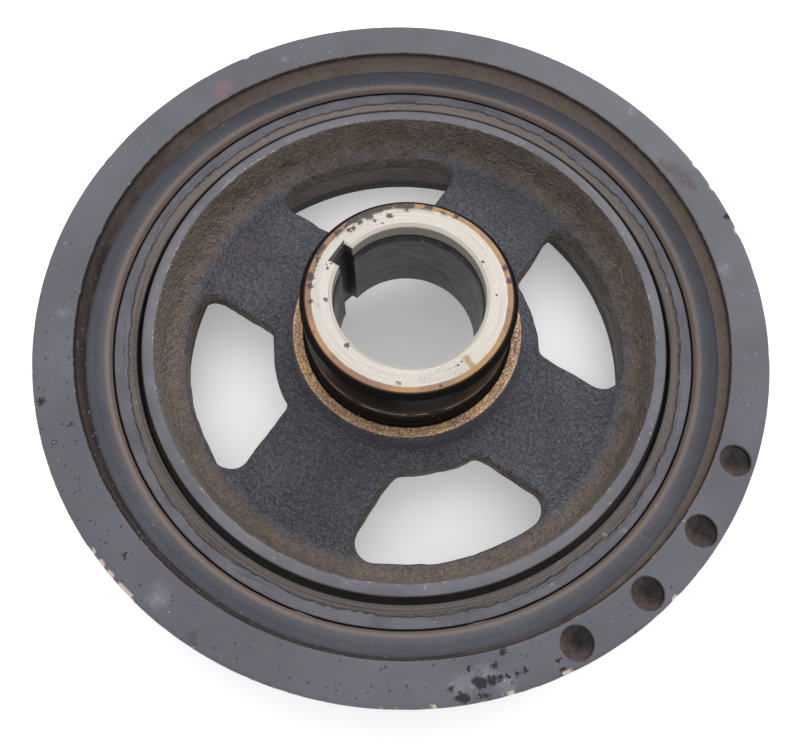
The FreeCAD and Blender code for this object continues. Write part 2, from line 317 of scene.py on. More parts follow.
def splotchesOn(at, marks, height, push=0.3, soft=0.1, grain=1.0):
    # marks are (angle in degrees, radius, width), push and grain say how far and how finely they are torn
    tree = at["Spot"].tree
    bent = useGroup(tree, shiver, {"Spot": at["Spot"], "Size": grain, "Push": push})["Spot"]
    total = 0.0
    for angle, radius, width in marks:
        turn = math.radians(angle)
        centre = (radius * math.cos(turn), radius * math.sin(turn), height)
        inputs = {"Spot": bent, "Centre": centre, "Width": width, "Soft": soft}
        total = useGroup(tree, splotch, inputs)["Mask"].most(total)
    return total


print("effects ready")


# turned meshes

def outlineRows(corners, spacing):
    # corners are (radius, height, rounding, finish) in mm, counter-clockwise in the radius-height plane;
    # a finish holds from its corner to the next. Gives radii, heights and finishes, one for each row.
    count = len(corners)
    spots = [Vector(corner[:2]) for corner in corners]
    rows = []
    for index, (radius, height, rounding, finish) in enumerate(corners):
        before = (spots[index] - spots[index - 1]).normalized()
        after = (spots[(index + 1) % count] - spots[index]).normalized()
        turn = math.atan2(before.cross(after), before.dot(after))
        previous = corners[index - 1][3]
        if rounding == 0 or abs(turn) < 0.02:
            arc = [(spots[index], finish)]
        else:
            reach = rounding * math.tan(abs(turn) / 2)
            side = Vector((-before.y, before.x)) * math.copysign(1, turn)
            centre = spots[index] - before * reach + side * rounding
            steps = max(2, round(abs(turn) / arcStep), round(rounding * abs(turn) / spacing[finish]))
            arc = []
            for step in range(steps + 1):
                bend = Matrix.Rotation(turn * step / steps, 2)
                arc.append((centre + bend @ (-side * rounding), finish if step * 2 >= steps else previous))
        rows.append(arc)
    full = []
    for index, arc in enumerate(rows):
        full += arc
        start, finish = arc[-1]
        end = rows[(index + 1) % count][0][0]
        pieces = max(1, round((end - start).length / spacing[finish]))
        full += [(start.lerp(end, piece / pieces), finish) for piece in range(1, pieces)]
    places = np.array([tuple(spot) for spot, finish in full])
    return places[:, 0], places[:, 1], [finish for spot, finish in full]


def roughField(x, y, z, size, seed):  # a smooth seeded random field from -1 to 1, bumps of that size in mm
    table = np.random.default_rng(seed).uniform(-1, 1, (tableSize, tableSize, tableSize))
    spots = [np.asarray(part) / size for part in (x, y, z)]
    cells = [np.floor(part).astype(int) for part in spots]
    eased = [(part - cell) ** 2 * (3 - 2 * (part - cell)) for part, cell in zip(spots, cells)]
    total = 0
    for corner in range(8):
        bits = [(corner >> axis) & 1 for axis in range(3)]
        weight = 1
        for axis, bit in enumerate(bits):
            weight = weight * (eased[axis] if bit else 1 - eased[axis])
        total = total + weight * table[tuple((cells[axis] + bits[axis]) % tableSize for axis in range(3))]
    return total


def nearEdge(grid, radius, height, reach):  # 1 on a round edge, fading to 0 at that reach from it
    return np.clip(1 - np.hypot(radius - grid["radius"], height - grid["height"]) / reach, 0, 1)


def turnMesh(name, corners, spacing, segments, finishes, shape, marks=None):
    # shape gives how far each point stands out from the plain turned form; marks gives named point values
    radius, height, finish = outlineRows(corners, spacing)
    along = np.stack((np.roll(radius, -1) - np.roll(radius, 1), np.roll(height, -1) - np.roll(height, 1)))
    along = along / np.hypot(*along)
    angle = np.arange(segments) * fullTurn / segments
    grid = {"radius": radius[:, None] + 0 * angle, "height": height[:, None] + 0 * angle,
            "angle": angle[None, :] + 0 * radius[:, None],
            "finish": np.array([finishes.index(word) for word in finish])[:, None] + 0 * angle.astype(int)}
    grid["x"] = grid["radius"] * np.cos(grid["angle"])
    grid["y"] = grid["radius"] * np.sin(grid["angle"])
    out = shape(grid)
    wide = grid["radius"] + out * along[1][:, None]
    tall = grid["height"] - out * along[0][:, None]
    spots = np.stack((wide * np.cos(grid["angle"]), wide * np.sin(grid["angle"]), tall), -1).reshape(-1, 3) * mm
    first = np.arange(len(radius))[:, None] * segments + np.arange(segments)[None, :]
    right = np.roll(first, -1, 1)
    faces = np.stack((first, right, np.roll(right, -1, 0), np.roll(first, -1, 0)), -1).reshape(-1, 4)
    mesh = bpy.data.meshes.new(name)
    mesh.vertices.add(len(spots))
    mesh.vertices.foreach_set("co", spots.astype(np.float32).ravel())
    mesh.loops.add(faces.size)
    mesh.loops.foreach_set("vertex_index", faces.astype(np.int32).ravel())
    mesh.polygons.add(len(faces))
    mesh.polygons.foreach_set("loop_start", np.arange(0, faces.size, 4, dtype=np.int32))
    mesh.polygons.foreach_set("material_index", grid["finish"].astype(np.int32).ravel())
    mesh.update(calc_edges=True)
    mesh.validate()
    for title, values in (marks(grid) if marks else {}).items():
        layer = mesh.attributes.new(title, "FLOAT", "POINT")
        layer.data.foreach_set("value", values.astype(np.float32).ravel())
    return linked(name, mesh)


def linked(name, data):
    piece = bpy.data.objects.new(name, data)
    bpy.context.scene.collection.objects.link(piece)
    return piece


def prism(name, outline, outward, levels):
    # a cutter: a closed outline repeated at levels of (height, how far out along outward)
    count = len(outline)
    spots = [tuple(Vector((*(outline[i] + outward[i] * out), height)) * mm)
             for height, out in levels for i in range(count)]
    faces = [tuple(reversed(range(count))), tuple(range(count * (len(levels) - 1), count * len(levels)))]
    for level in range(len(levels) - 1):
        base = level * count
        faces += [(base + i, base + (i + 1) % count, base + count + (i + 1) % count, base + count + i)
                  for i in range(count)]
    mesh = bpy.data.meshes.new(name)
    mesh.from_pydata(spots, [], faces)
    return linked(name, mesh)


def cutAway(piece, cutters):
    for cutter in cutters:
        cut = piece.modifiers.new("cut", "BOOLEAN")
        cut.object = cutter
        cut.operation = "DIFFERENCE"
        cut.solver = "MANIFOLD"
    bpy.context.view_layer.update()
    done = bpy.data.meshes.new_from_object(piece.evaluated_get(bpy.context.evaluated_depsgraph_get()))
    piece.modifiers.clear()
    piece.data = done
    for cutter in cutters:
        bpy.data.objects.remove(cutter)


def finishNumbers(piece):
    numbers = np.empty(len(piece.data.polygons), dtype=np.int32)
    piece.data.polygons.foreach_get("material_index", numbers)
    return numbers


def refinish(piece, pick, index):  # pick gets centres, normals and radii in mm, and says which faces change
    parts = {"center": None, "normal": None}
    for key in parts:
        parts[key] = np.empty(len(piece.data.polygons) * 3)
        piece.data.polygons.foreach_get(key, parts[key])
        parts[key] = parts[key].reshape(-1, 3)
    centres = parts["center"] / mm
    numbers = finishNumbers(piece)
    numbers[pick(centres, parts["normal"], np.hypot(centres[:, 0], centres[:, 1]))] = index
    piece.data.polygons.foreach_set("material_index", numbers)


def dress(piece, materials):  # gives the materials to the finish numbers that the faces already have
    kept = finishNumbers(piece)
    piece.data.materials.clear()
    for material in materials:
        piece.data.materials.append(material)
    piece.data.polygons.foreach_set("material_index", kept)


def smoothShading(piece, angle):
    piece.data.polygons.foreach_set("use_smooth", np.ones(len(piece.data.polygons), dtype=bool))
    piece.data.set_sharp_from_angle(angle=math.radians(angle))


# inertia ring

ringShape = {
    "faceIn": ringReach - 8.5,      # inner edge of the flat rear face
    "stepSlope": 0.5,
    "stepDepth": 7.0,
    "bore": rubberReach + 0.1,
    "flange": 3.0,
    "track": 77.0,
    "trackLow": 8.0,
    "trackHigh": 32.0,
    "frontLip": 77.8,
    "ribPitch": 3.56,
    "ribs": 6,
    "grooveMouth": 1.53,
    "grooveRoot": 0.3,
    "grooveDepth": 3.38,
    "holeCircle": 75.75,
    "holeRadius": 3.25,
    "holeDepth": 1.2,
    "holeCone": 1.95,
    "holeMouth": 0.22,              # bevel round the mouth
    "firstHole": -77.6,
    "holeSpan": 39.1,
    "holes": 4,
    "holeShade": (2.1, 0.5, 5.2),      # painted shade in each hole: its shift from a hole's centre, and its width
    "nickDepth": 0.75,
    "chipDepth": 0.4,
    "paintRoughness": 0.035,
    "spacing": {"paint": 0.48, "track": 9.0},
    "segments": 540,
    "seed": 11,
}
ringEdges = {"sunkFace": ringTop - ringShape["stepDepth"], "lip": ringShape["bore"]}
ringLook = {
    "paint": tint(92, 92, 100),
    "paintDark": tint(80, 80, 88),
    "paintWarm": tint(97, 92, 93),
    "sunkShadeAndStreaks": tint(62, 62, 72),
    "dust": tint(128, 115, 105),
    "lipDust": tint(112, 98, 90),
    "rust": tint(92, 74, 66),
    "grit": tint(190, 180, 168),
    "stain": tint(66, 57, 54),
    "reddish": tint(122, 86, 90),
    "scuff": tint(140, 138, 147),
    "bare": tint(168, 158, 150),
    "chip": tint(186, 170, 154),
    "soot": tint(42, 37, 38),
    "line": tint(20, 18, 20),
    "track": tint(92, 90, 92),
    "trackPale": tint(126, 124, 124),
    "hole": tint(74, 60, 58),
    "holeDark": tint(46, 36, 36),
    "holePale": tint(112, 92, 84),
    # near black, for the painted shade in the drilled holes
    "holeShade": tint(14, 11, 12),
}
ringMarks = {  # (angle in degrees, radius, width)
    "brown": [(20.4, 73.2, 2.6), (18.9, 74.2, 3.6), (17.0, 74.8, 3.4), (15.6, 75.1, 4.2),
              (14.2, 75.5, 3.0), (-133.9, 78.2, 2.2)],
    "reddish": [(114.3, 74.6, 3.8), (115.7, 73.6, 3.0)],
    "pits": [(6.2, 79.3, 1.6), (-92.6, 76.7, 2.2), (-93.2, 76.3, 1.6), (-95.7, 78.5, 1.7),
             (-94.9, 78.9, 1.4), (-90.2, 74.2, 1.3), (-88.4, 72.2, 1.4), (-81.1, 77.1, 0.9),
             (-81.1, 79.2, 1.6), (-91.1, 76.6, 1.8), (-89.8, 76.6, 1.1), (-88.6, 76.6, 1.0),
             (-87.3, 76.7, 0.9), (-86.0, 76.7, 1.0), (-94.0, 74.0, 1.0), (-96.8, 76.7, 1.0),
             (-92.1, 79.0, 1.0), (-93.0, 78.9, 1.0), (-177.0, 78.5, 1.7), (-171.9, 73.6, 0.9),
             (-170.0, 77.5, 1.0), (-149.1, 75.6, 1.0)],
    "pale": [(-95.3, 76.5, 3.4), (-91.7, 75.4, 3.0), (-93.8, 76.0, 2.8), (-89.3, 77.8, 3.4),
             (-3.6, 73.1, 3.0), (32.3, 78.0, 1.6), (101.7, 75.0, 1.6), (100.9, 75.2, 1.1),
             (168.1, 74.3, 2.0), (-141.0, 76.4, 3.4)],
    "chips": [(-99.4, 79.6, 1.3), (-88.7, 79.7, 1.6), (-80.7, 79.6, 2.0), (-152.6, 79.6, 1.6),
              (-150.5, 79.7, 2.1), (-148.4, 79.6, 2.0), (-145.8, 79.7, 2.4), (-144.5, 79.5, 2.0),
              (3.2, 79.5, 1.4), (107.7, 79.5, 1.1), (-61.9, 79.9, 1.4), (17.2, 79.8, 1.2),
              (12.2, 79.7, 1.2)],
}


def holeCentres():
    s = ringShape
    step = s["holeSpan"] / (s["holes"] - 1)
    turns = [math.radians(s["firstHole"] + step * index) for index in range(s["holes"])]
    return [Vector((math.cos(turn), math.sin(turn))) * s["holeCircle"] for turn in turns]


def makeRingPaint():
    material, shader = newMaterial("ringPaint")
    look = ringLook
    faceIn = ringShape["faceIn"]
    sunkFace = ringEdges["sunkFace"]
    lip = ringEdges["lip"]
    at = useGroup(shader.id_data, polarPlace)
    radius = at["Radius"]
    height = at["Height"]
    marks = toolMarks(at, 0.32, 1.2)
    wide = cloud(at, 34, 3, 0.6)
    fine = cloud(at, 1.6, 4, 0.65)
    colour = blend(wide.fade(0.35, 0.65), look["paint"], look["paintDark"])
    colour = blend(fine.spread(0.35, 0.7, 0.0, 0.25), colour, look["paintWarm"])
    colour = blend(marks.spread(0.4, 0.75, 0.0, 0.35), colour, look["paintDark"])
    # the sunk face inside the step gets painted shade, deepest at the foot of the step wall, and tan where it
    # curls down to the rubber
    sunk = height.fade(sunkFace + 1.1, sunkFace + 0.9)
    footward = radius.fade(lip + 1.6, faceIn - 0.9)
    colour = blend(sunk * (footward * 0.6 + 0.05), colour, look["sunkShadeAndStreaks"])
    spokes = {"Around": at["Around"], "Pitch": 1.0, "Wander": 90.0}
    streaks = useGroup(shader.id_data, turningMarks, spokes)["Marks"]
    colour = blend(sunk * streaks.spread(0.35, 0.7, 0.0, 0.35), colour, look["sunkShadeAndStreaks"])
    curl = sunk * radius.band(lip - 0.6, lip + 1.3, 0.45)
    colour = blend(curl * 0.85, colour, look["lipDust"])
    # the step wall holds dust on one side and soot on the other; this split round the circle is also painted
    # light, pale where the wall faces away from the key lamp and dark where it faces it
    onWall = radius.fade(faceIn + 0.8, faceIn + 0.3)
    wall = height.band(sunkFace + 1.0, ringTop - 0.1, 0.12) * onWall
    turn = towards(at, 30.0)
    dustAndSideLight = bloomOn(at, 9.0, turn.spread(-0.8, 0.3, 0.0, 1.0), 0.35)
    wallTint = blend(dustAndSideLight["Mask"], look["soot"], look["dust"])
    upper = height.fade(sunkFace + 2.0, ringTop - 1.5)
    wallTint = blend(upper * 0.45, wallTint, look["rust"])
    wallTint = blend(dustAndSideLight["Mottle"].spread(0.5, 0.72, 0.0, 0.35), wallTint, look["soot"])
    gritty = specksOn(at, 0.7, 0.16) * turn.fade(-0.3, -0.9, 0.05, 0.8)
    wallTint = blend(gritty, wallTint, look["grit"])
    colour = blend(wall * 0.97, colour, wallTint)
    under = height.fade(ringTop - 2.0, ringTop - 0.6) * height.fade(ringTop - 0.05, ringTop - 0.2)
    colour = blend(onWall * under * 0.85, colour, look["line"])
    # stains, scuffs and pits, each in its own place
    flat = height.fade(ringTop - 1.5, ringTop - 0.8)
    brown = splotchesOn(at, ringMarks["brown"], ringTop, 0.7, 0.25)
    colour = blend(brown * fine.spread(0.35, 0.6, 0.3, 0.9), colour, look["stain"])
    reddish = splotchesOn(at, ringMarks["reddish"], ringTop, 0.5, 0.3)
    colour = blend(reddish * 0.6, colour, look["reddish"])
    scuffed = splotchesOn(at, ringMarks["pale"], ringTop, 1.2, 0.4)
    colour = blend(scuffed * fine.spread(0.35, 0.65, 0.2, 0.5), colour, look["scuff"])
    pitted = splotchesOn(at, ringMarks["pits"], ringTop, 0.75, 0.12, 0.7)
    colour = blend(pitted * flat * 0.9, colour, look["line"])
    lowSide = towards(at, -130.0).fade(-0.2, 0.8)
    peppered = specksOn(at, 0.8, lowSide * 0.14)
    colour = blend(peppered * flat * 0.6, colour, look["line"])
    colour = blend(bloomOn(at, 3.0, 0.12, 0.06)["Mask"] * 0.3, colour, look["bare"])
    colour = blend(specksOn(at, 0.6, 0.012) * 0.55, colour, look["bare"])
    # chips along the outer edge and the inner edge of the flat face
    outside = ringReach - radius
    inside = (radius - faceIn).calc("ABSOLUTE") + height.fade(ringTop - 0.3, ringTop - 0.8, 0.0, 5.0)
    knocked = splotchesOn(at, ringMarks["chips"], ringTop - 0.1, 0.7, 0.15) * outside.fade(1.1, 0.6)
    rubbed = wearOn(at, inside, 0.22, 0.0) * 0.6
    bare = wearOn(at, outside, 0.5, 0.0).most(knocked).most(rubbed)
    bareTint = blend(cloud(at, 2.0), look["bare"], look["rust"])
    bareTint = blend(knocked, bareTint, look["chip"])
    colour = blend(bare, colour, bareTint)
    gloss = fine.spread(0.3, 0.7, 0.36, 0.5) + wall * 0.35 + wide.spread(0.3, 0.7, -0.05, 0.05)
    gloss = gloss + sunk * footward * 0.25 + pitted * 0.3
    dents = bare.most(pitted.most(peppered) * 2.5)
    shader.inputs["Specular IOR Level"].default_value = 0.35
    finish(shader, colour, gloss, marks * 0.5 + fine * 0.6 - dents * 0.9, 0.04)
    return material


def makeBeltTrack():
    material, shader = newMaterial("beltTrack")
    look = ringLook
    at = useGroup(shader.id_data, polarPlace)
    marks = toolMarks(at, 0.18, 0.8)
    rusty = bloomOn(at, 6.0, 0.4, 0.15)["Mask"]
    colour = blend(marks, look["track"], look["trackPale"])
    colour = blend(rusty * 0.6, colour, look["rust"])
    deep = at["Radius"].fade(ringShape["track"] - 1.2, ringShape["track"] - 3.2)
    colour = blend(deep * 0.8, colour, look["soot"])
    finish(shader, colour, marks.spread(0.3, 0.7, 0.34, 0.55), marks, 0.02, rusty.spread(0.0, 1.0, 0.7, 0.1))
    return material


def makeDrilledHole():
    material, shader = newMaterial("drilledHole")
    look = ringLook
    at = useGroup(shader.id_data, polarPlace)
    rusty = bloomOn(at, 1.6, 0.55, 0.2)
    colour = blend(rusty["Mask"], look["hole"], look["holeDark"])
    colour = blend(rusty["Mottle"].spread(0.5, 0.75, 0.0, 0.5), colour, look["holePale"])
    # painted shade: a near-black patch lies deep against the far side of each hole, where the hole is in shadow
    shiftX, shiftY, width = ringShape["holeShade"]
    holeShadeMarks = [(math.degrees(math.atan2(centre.y + shiftY, centre.x + shiftX)),
               math.hypot(centre.x + shiftX, centre.y + shiftY), width) for centre in holeCentres()]
    holeShade = splotchesOn(at, holeShadeMarks, ringTop - 1.4, 0.25, 0.2)
    holeShade = holeShade * at["Height"].fade(ringTop - 0.15, ringTop - 0.45)
    colour = blend(holeShade * 0.88, colour, look["holeShade"])
    finish(shader, colour, rusty["Mask"].spread(0.0, 1.0, 0.5, 0.8), rusty["Mottle"], 0.08)
    return material


def ringOutline():
    s = ringShape
    sunk = ringEdges["sunkFace"]
    corners = [
        (s["bore"], ringLow, 0.5, "track"),
        (s["frontLip"], ringLow, 0.5, "track"),
        (s["frontLip"], s["trackLow"], 0.5, "track"),
        (s["track"], s["trackLow"], 0.2, "track"),
    ]
    middle = (s["trackLow"] + s["trackHigh"]) / 2
    root = s["track"] - s["grooveDepth"]
    for rib in range(s["ribs"]):
        at = middle + (rib - (s["ribs"] - 1) / 2) * s["ribPitch"]
        groove = [(s["track"], -s["grooveMouth"]), (root, -s["grooveRoot"]),
                  (root, s["grooveRoot"]), (s["track"], s["grooveMouth"])]
        corners += [(radius, at + off, 0.25, "track") for radius, off in groove]
    return corners + [
        (s["track"], s["trackHigh"], 0.4, "paint"),
        (ringReach - 0.4, ringTop - s["flange"], 0.3, "paint"),
        (ringReach, ringTop - s["flange"] + 0.5, 0.3, "paint"),
        (ringReach, ringTop, 0.45, "paint"),
        (s["faceIn"], ringTop, 0.35, "paint"),
        (s["faceIn"] - s["stepSlope"], sunk, 1.5, "paint"),
        (s["bore"] + 0.45, sunk, 0.9, "paint"),
        (s["bore"], sunk - 1.4, 0.3, "track"),
    ]


def ringRoughness(grid):
    # the outer edge is nicked and chipped, and the paint on the faces is not dead flat
    s = ringShape
    x, y, z = grid["x"], grid["y"], grid["height"]
    edge = nearEdge(grid, ringReach, ringTop, 0.9)
    nicks = np.clip(roughField(x, y, z, 1.9, s["seed"] + 1) - 0.42, 0, 1)
    worn = np.clip(roughField(x, y, z, 23, s["seed"] + 2) + 0.35, 0, 1)
    painted = (z > s["trackHigh"] + 0.5) | (grid["radius"] < 72)
    outermost = (grid["radius"] > ringReach - 0.7) | (z > ringTop - 0.1)
    paint = s["paintRoughness"] * roughField(x, y, z, 2.6, s["seed"])
    paint = np.where(outermost, -np.abs(paint), paint)
    chipped = 0 * x
    for angle, radius, width in ringMarks["chips"]:
        turn = math.radians(angle)
        away = np.hypot(x - radius * math.cos(turn), y - radius * math.sin(turn))
        chipped = chipped + np.clip(1 - away / width, 0, 1) * edge * s["chipDepth"]
    return paint * painted - edge * nicks * worn * s["nickDepth"] - chipped


def holeCutter(centre):
    s = ringShape
    radius = s["holeRadius"]
    floor = ringTop - s["holeDepth"]
    around = [Vector((math.cos(t), math.sin(t))) for t in np.linspace(0, fullTurn, 72, endpoint=False)]
    levels = [(floor - s["holeCone"], 0.08 - radius)]
    levels += [(floor - s["holeCone"] * (1 - part), -radius * (1 - part)) for part in (0.25, 0.5, 0.75)]
    levels += [(floor, 0.0), (ringTop - s["holeMouth"], 0.0), (ringTop, s["holeMouth"]),
               (ringTop + 1, s["holeMouth"] + 1)]
    return prism("drill", [centre + spoke * radius for spoke in around], around, levels)


def buildInertiaRing():
    s = ringShape
    piece = turnMesh("inertiaRing", ringOutline(), s["spacing"], s["segments"], ["paint", "track"],
                     ringRoughness)
    cutAway(piece, [holeCutter(centre) for centre in holeCentres()])
    dress(piece, [makeRingPaint(), makeBeltTrack(), makeDrilledHole()])

    def inHole(centres, normals, radii):
        depth = ringTop - centres[:, 2]
        level = (depth > 0.1) & (depth < s["holeDepth"] + s["holeCone"] + 0.5) & (normals[:, 2] > -0.3)
        near = [np.hypot(centres[:, 0] - centre.x, centres[:, 1] - centre.y) < s["holeRadius"] + 0.12
                for centre in holeCentres()]
        return level & np.any(near, axis=0)

    refinish(piece, inHole, 2)
    smoothShading(piece, 38)
    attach(piece, "inertia_ring")
    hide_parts("inertia_ring")
    print("inertia ring built:", len(piece.data.polygons), "faces")


# elastomer ring

rubberShape = {
    "rim": hubReach,               # it is bonded to the hub's rim
    "grooveWidth": 1.4,
    "grooveDepth": 3.2,
    "shoulder": 0.5,
    "filmEdge": 63.4,              # the paint film reaches in to about this radius
    "filmRagged": 0.75,
    "filmThick": 0.22,
    "ribPitch": 0.72,
    "ribHeight": 0.06,
    "groovePitch": 0.8,
    "grooveRibs": 0.07,
    "spacing": {"hidden": 5.0, "face": 0.15, "groove": 0.22},
    "segments": 1400,
    "seed": 23,
}
rubberLook = {
    "film": tint(94, 94, 102),
    "filmDark": tint(78, 77, 85),
    "rubber": tint(98, 90, 87),
    "rubberDarkAndShaded": tint(66, 60, 60),
    "rubberLitSide": tint(122, 112, 107),
    "crackAndShadowLine": tint(18, 17, 18),
    "crumb": tint(138, 124, 114),
    # near black, for the painted shade in the groove
    "groove": tint(14, 13, 14),
}


def rubberOutline():
    s = rubberShape
    wall = s["rim"] + s["grooveWidth"]
    floor = rubberTop - s["grooveDepth"]
    return [
        (s["rim"], rubberLow, 0, "hidden"),
        (rubberReach - 0.4, rubberLow, 0, "hidden"),
        (rubberReach, rubberLow + 0.4, 0, "hidden"),
        (rubberReach, rubberTop - 1.2, 0, "face"),
        (rubberReach, rubberTop - 0.3, s["shoulder"], "face"),
        (wall, rubberTop - 0.3, 0.35, "groove"),
        (wall, floor, 0.3, "groove"),
        (s["rim"], floor, 0, "hidden"),
    ]


def fieldAround(grid, size, step):  # a random field that changes only round the circle
    turns = grid["angle"] * rubberShape["filmEdge"]
    return roughField(turns, 0 * turns, 0 * turns, size, rubberShape["seed"] + step)


def filmCover(grid):  # how far a point is inside the film's ragged edge, in mm
    s = rubberShape
    x, y, z = grid["x"], grid["y"], grid["height"]
    flakes = roughField(x, y, z, 1.1, s["seed"] + 2)
    small = roughField(x, y, z, 0.5, s["seed"] + 3)
    ragged = 0.55 * fieldAround(grid, 17, 0) + 0.3 * fieldAround(grid, 4.5, 1) + 0.35 * flakes + 0.15 * small
    return grid["radius"] - s["filmEdge"] - s["filmRagged"] * ragged


def rubberRoughness(grid):
    s = rubberShape
    x, y, z = grid["x"], grid["y"], grid["height"]
    top = z > rubberTop - 0.35
    cover = filmCover(grid)
    film = np.clip(cover / 0.16 + 0.5, 0, 1) * top
    curl = np.exp(-((cover - 0.22) / 0.25) ** 2) * np.clip(roughField(x, y, z, 3.1, s["seed"] + 4) + 0.3, 0, 1)
    wrinkle = roughField(grid["angle"] * 63 / 0.9, grid["radius"] / 3.2, 0 * x, 1.0, s["seed"] + 5)
    painted = film * (s["filmThick"] + 0.09 * curl + 0.05 * wrinkle)
    ribs = np.sin(grid["radius"] * fullTurn / s["ribPitch"]) * s["ribHeight"]
    bare = roughField(x, y, z, 0.8, s["seed"] + 6) * 0.04
    inGroove = (grid["radius"] < s["rim"] + s["grooveWidth"] + 0.05) & (grid["radius"] > s["rim"] + 0.4)
    inGroove = inGroove & (z < rubberTop - 0.5) & (z > rubberTop - s["grooveDepth"] + 0.1)
    grooved = np.sin(z * fullTurn / s["groovePitch"]) * s["grooveRibs"] * inGroove
    return np.where(top, painted + (1 - film) * (ribs + bare), 0) + grooved - top * 0.02


def rubberMarks(grid):
    cover = filmCover(grid)
    top = (grid["height"] > rubberTop - 1.3) & (grid["radius"] > rubberShape["rim"] + rubberShape["grooveWidth"])
    film = np.clip(cover / 0.12 + 0.5, 0, 1) * top
    # a dark line just outside the film's ragged edge: partly the crack, partly painted shadow under the lifted
    # film edge
    crackAndShadowLine = np.exp(-((cover + 0.08) / 0.19) ** 2) * top
    drift = 0.45 * fieldAround(grid, 8, 8) + 0.12 * fieldAround(grid, 1.3, 9)
    parted = np.clip(fieldAround(grid, 12, 10) * 3 + 0.4, 0, 1)
    split = np.exp(-((cover - 0.75 - drift) / 0.07) ** 2) * parted * top
    return {"film": film, "crackAndShadowLine": np.maximum(crackAndShadowLine, split)}


def makeRubber():
    material, shader = newMaterial("agedRubber")
    look = rubberLook
    at = useGroup(shader.id_data, polarPlace)
    film, crackAndShadowLine = [wire(shader.id_data, "ShaderNodeAttribute", {}, "Fac", attribute_name=title)
                   for title in ("film", "crackAndShadowLine")]
    ribs = toolMarks(at, 0.35, 3.0)
    fine = cloud(at, 0.7, 4, 0.7)
    # painted light: the bare rubber is paler on the side towards 75° and darker on the far side, standing in for
    # where light and shade fall
    side = towards(at, 75.0)
    bare = blend(ribs.fade(0.3, 0.62), look["rubberDarkAndShaded"], look["rubber"])
    bare = blend(fine.spread(0.5, 0.8, 0.0, 0.5), bare, look["crumb"])
    bare = blend(side.fade(-0.2, 0.9, 0.0, 0.5), bare, look["rubberLitSide"])
    bare = blend(side.fade(-0.2, -0.9, 0.0, 0.4), bare, look["rubberDarkAndShaded"])
    painted = blend(cloud(at, 9, 4, 0.6).fade(0.35, 0.65), look["film"], look["filmDark"])
    painted = blend(fine.spread(0.45, 0.8, 0.0, 0.35), painted, look["rubber"])
    colour = blend(film, bare, painted)
    # dark lines at the film's edge and its splits: cracks with painted shadow along them
    colour = blend(crackAndShadowLine * bloomOn(at, 3.2, 0.75, 0.12)["Mask"], colour, look["crackAndShadowLine"])
    colour = blend(specksOn(at, 1.4, 0.05) * 0.6, colour, look["crumb"])
    # painted shade: a dark line along the rubber's outer edge, in the gap against the inertia ring
    edge = at["Radius"].band(rubberReach - 0.35, rubberReach + 0.3, 0.1)
    colour = blend(edge * 0.8, colour, look["crackAndShadowLine"])
    # painted shade: the groove beside the hub's rim goes near black below the top
    sunk = at["Height"].fade(rubberTop - 0.55, rubberTop - 0.9)
    colour = blend(sunk * 0.85, colour, look["groove"])
    finish(shader, colour, film.spread(0.0, 1.0, 0.72, 0.46), ribs * 0.8 + fine, 0.06)
    return material


def buildElastomer():
    s = rubberShape
    piece = turnMesh("elastomerRing", rubberOutline(), s["spacing"], s["segments"], ["face", "groove", "hidden"],
                     rubberRoughness, rubberMarks)
    piece.data.polygons.foreach_set("material_index", np.zeros(len(piece.data.polygons), dtype=np.int32))
    piece.data.materials.append(makeRubber())
    smoothShading(piece, 60)
    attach(piece, "hub")
    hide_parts("elastomer_ring")
    print("elastomer ring built:", len(piece.data.polygons), "faces")


# hub

hubShape = {
    "rimTop": 28.6,
    "rimWidth": 2.6,
    "rearFoot": 55.9,
    "frontFoot": 53.6,
    "frontInner": 55.9,
    "webRear": 18.8,
    "webFront": 14.0,
    "fillet": 4.0,
    "bossFoot": 27.6,
    "shoulder": 26.4,
    "shoulderTop": 27.9,
    "shoulderIn": 24.0,
    "wearLine": 33.7,
    "wearDepth": 0.15,
    "journalChamfer": 1.3,
    "counterbore": 16.2,
    "counterLow": 41.4,
    "mouth": 0.45,
    "boltRecess": 21.0,
    "boltBoss": 26.6,
    "boltBossLow": 10.6,
    "windowIn": 32.0,
    "windowOut": 52.3,
    "spokeWidth": 29.6,
    "spokeSlant": 45.0,
    "windowInRound": 2.6,
    "windowOutRound": 4.6,
    "windowEdge": 0.9,
    "windows": 4,
    "keyWidth": 5.0,
    "keyFloor": 18.1,
    "keyAngle": 135.0,
    "spacing": {"cast": 0.65, "rim": 0.8, "shoulder": 0.32, "journal": 2.0, "face": 2.0, "bore": 6.0,
                "front": 2.2},
    "segments": 520,
    "seed": 5,
}
hubFinishes = list(hubShape["spacing"])
